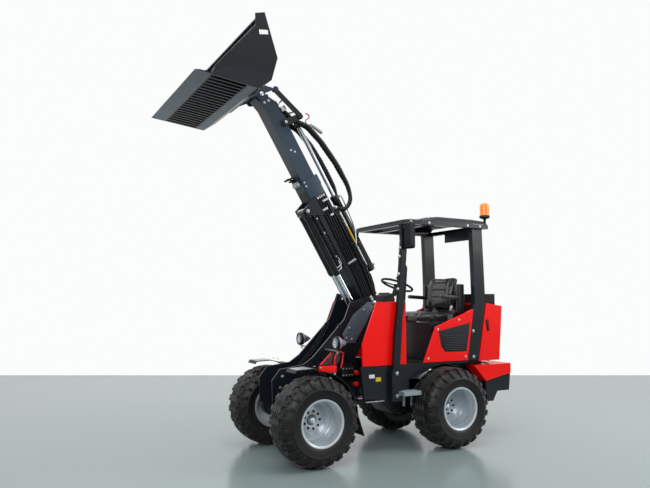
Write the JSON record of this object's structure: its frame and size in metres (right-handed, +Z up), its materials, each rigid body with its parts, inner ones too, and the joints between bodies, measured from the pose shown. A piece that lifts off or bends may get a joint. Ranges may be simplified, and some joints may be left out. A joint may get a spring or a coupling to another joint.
{
  "type": "wheel loader",
  "caption": "Compact articulated wheel loader with a raised telescopic boom, a slotted bucket, an open roll-over canopy, lugged tyres and a hinged engine hood.",
  "frame": {"origin": "On the floor, midway along and across the machine as it stands, straight and with the boom raised.", "axes": "+X is forward, +Y is the machine's left, +Z is up."},
  "size_m": [3.6099, 1.5, 3.859],
  "materials": {
    "frame_grey": "dark blue-grey paint, satin",
    "body_red": "bright red paint, gloss",
    "boom_grey": "slate grey paint, satin",
    "machinery": "dark engine paint, matt",
    "black_plastic": "moulded, matt",
    "cylinder_black": "dark paint, satin",
    "rod_chrome": "hard chrome, polished",
    "bucket_black": "black paint, satin",
    "seat_fabric": "black cloth",
    "roof_grey": "moulded sheet, satin",
    "lamp_amber": "amber lens, gloss",
    "hose_rubber": "braided hose, matt",
    "lamp_grey": "black housing, clear lens",
    "tyre_black": "moulded rubber, matt",
    "rim_silver": "silver paint, satin"
  },
  "bodies": {
    "rear_frame": {"rear_chassis": "frame_grey", "platform": "frame_grey", "tail_weight": "frame_grey", "bodywork": "body_red", "engine_block": "machinery", "console": "body_red", "steering_column": "black_plastic", "seat_frame": "frame_grey", "seat_cushion": "seat_fabric", "seat_backrest": "seat_fabric", "rops_rear": "frame_grey", "rops_front": "frame_grey", "roof_frame": "frame_grey", "roof_panel": "roof_grey", "beacon": "lamp_amber", "mirror": "black_plastic", "steps": "frame_grey"},
    "hood": {"hood": "body_red", "intake_box": "black_plastic"},
    "steering_wheel": {"steering_wheel": "black_plastic"},
    "front_frame": {"front_chassis": "frame_grey", "front_fenders": "black_plastic", "work_lights": "lamp_grey"},
    "boom": {"boom_outer": "boom_grey", "tilt_barrel": "cylinder_black", "lift_hoses": "hose_rubber"},
    "boom_tip": {"boom_inner": "boom_grey", "boom_hoses": "hose_rubber"},
    "lift_barrels": {"lift_barrels": "cylinder_black"},
    "lift_rods": {"lift_rods": "rod_chrome"},
    "steer_barrel": {"steer_barrel": "cylinder_black"},
    "steer_rod": {"steer_rod": "rod_chrome"},
    "tilt_rod": {"tilt_rod": "rod_chrome"},
    "tilt_lever": {"tilt_lever": "cylinder_black"},
    "tilt_link": {"tilt_link": "cylinder_black"},
    "bucket": {"quick_coupler": "boom_grey", "bucket": "bucket_black"},
    "wheel_rear_left": {"tyre_rear_left": "tyre_black", "rim_rear_left": "rim_silver"},
    "wheel_rear_right": {"tyre_rear_right": "tyre_black", "rim_rear_right": "rim_silver"},
    "wheel_front_left": {"tyre_front_left": "tyre_black", "rim_front_left": "rim_silver"},
    "wheel_front_right": {"tyre_front_right": "tyre_black", "rim_front_right": "rim_silver"}
  },
  "joints": [
    {"name": "articulation", "type": "hinge", "parent": "rear_frame", "child": "front_frame", "pos_m": [-0.143, 0, 0.5], "axis": [0, 0, 1], "range_deg": [-40, 40]},
    {"name": "wheel_rear_left", "type": "hinge", "parent": "rear_frame", "child": "wheel_rear_left", "pos_m": [-0.9, 0.51, 0.388], "axis": [0, 1, 0], "continuous": true},
    {"name": "wheel_rear_right", "type": "hinge", "parent": "rear_frame", "child": "wheel_rear_right", "pos_m": [-0.9, -0.51, 0.388], "axis": [0, 1, 0], "continuous": true},
    {"name": "wheel_front_left", "type": "hinge", "parent": "front_frame", "child": "wheel_front_left", "pos_m": [0.614, 0.51, 0.388], "axis": [0, 1, 0], "continuous": true},
    {"name": "wheel_front_right", "type": "hinge", "parent": "front_frame", "child": "wheel_front_right", "pos_m": [0.614, -0.51, 0.388], "axis": [0, 1, 0], "continuous": true},
    {"name": "steering_wheel", "type": "hinge", "parent": "rear_frame", "child": "steering_wheel", "pos_m": [-0.64, 0, 1.595], "axis": [-0.3746, 0, 0.9272], "continuous": true},
    {"name": "hood", "type": "hinge", "parent": "rear_frame", "child": "hood", "pos_m": [-1.648, 0, 0.788], "axis": [0, -1, 0], "range_deg": [0, 70]},
    {"name": "lift", "type": "hinge", "parent": "front_frame", "child": "boom", "pos_m": [-0.24, 0, 1.41], "axis": [0, -1, 0], "range_deg": [-102, 3]},
    {"name": "telescope", "type": "slide", "parent": "boom", "child": "boom_tip", "axis": [0.515, 0, 0.8572], "range_m": [-0.55, 0]},
    {"name": "bucket_tilt", "type": "hinge", "parent": "boom_tip", "child": "bucket", "pos_m": [0.98831, 0, 3.36688], "axis": [0, 1, 0], "range_deg": [-100, 46]},
    {"name": "tilt_lever", "type": "hinge", "parent": "boom_tip", "child": "tilt_lever", "pos_m": [0.71463, 0, 3.14633], "axis": [0, 1, 0], "range_deg": [-100, 46]},
    {"name": "tilt_link", "type": "hinge", "parent": "tilt_lever", "child": "tilt_link", "pos_m": [0.56445, 0, 3.22257], "axis": [0, 1, 0], "range_deg": [-46, 100]},
    {"name": "tilt_rod", "type": "slide", "parent": "boom_tip", "child": "tilt_rod", "axis": [0.515, 0, 0.8572], "range_m": [-0.16, 0.08]},
    {"name": "lift_barrel_pivot", "type": "hinge", "parent": "boom", "child": "lift_barrels", "pos_m": [0.47485, 0, 2.29877], "axis": [0, -1, 0], "range_deg": [-1, 6]},
    {"name": "lift_rod", "type": "slide", "parent": "lift_barrels", "child": "lift_rods", "axis": [0.515, 0, 0.8572], "range_m": [-0.02, 0.44]},
    {"name": "steer_barrel_pivot", "type": "hinge", "parent": "rear_frame", "child": "steer_barrel", "pos_m": [-0.66, 0.26, 0.5], "axis": [0, 0, 1], "range_deg": [-10, 10]},
    {"name": "steer_rod", "type": "slide", "parent": "steer_barrel", "child": "steer_rod", "axis": [0.9996, -0.029, 0], "range_m": [-0.17, 0.17]}
  ],
  "couplings": [
    {"joint": "tilt_lever", "follows": "bucket_tilt", "ratio": 1},
    {"joint": "tilt_link", "follows": "bucket_tilt", "ratio": -1},
    {"joint": "tilt_rod", "follows": "bucket_tilt", "m_per_rad": 0.0882},
    {"joint": "lift_barrel_pivot", "follows": "lift", "ratio": -0.05},
    {"joint": "lift_rod", "follows": "lift", "m_per_rad": -0.2407},
    {"joint": "steer_barrel_pivot", "follows": "articulation", "ratio": 0.214},
    {"joint": "steer_rod", "follows": "articulation", "m_per_rad": -0.236}
  ]
}
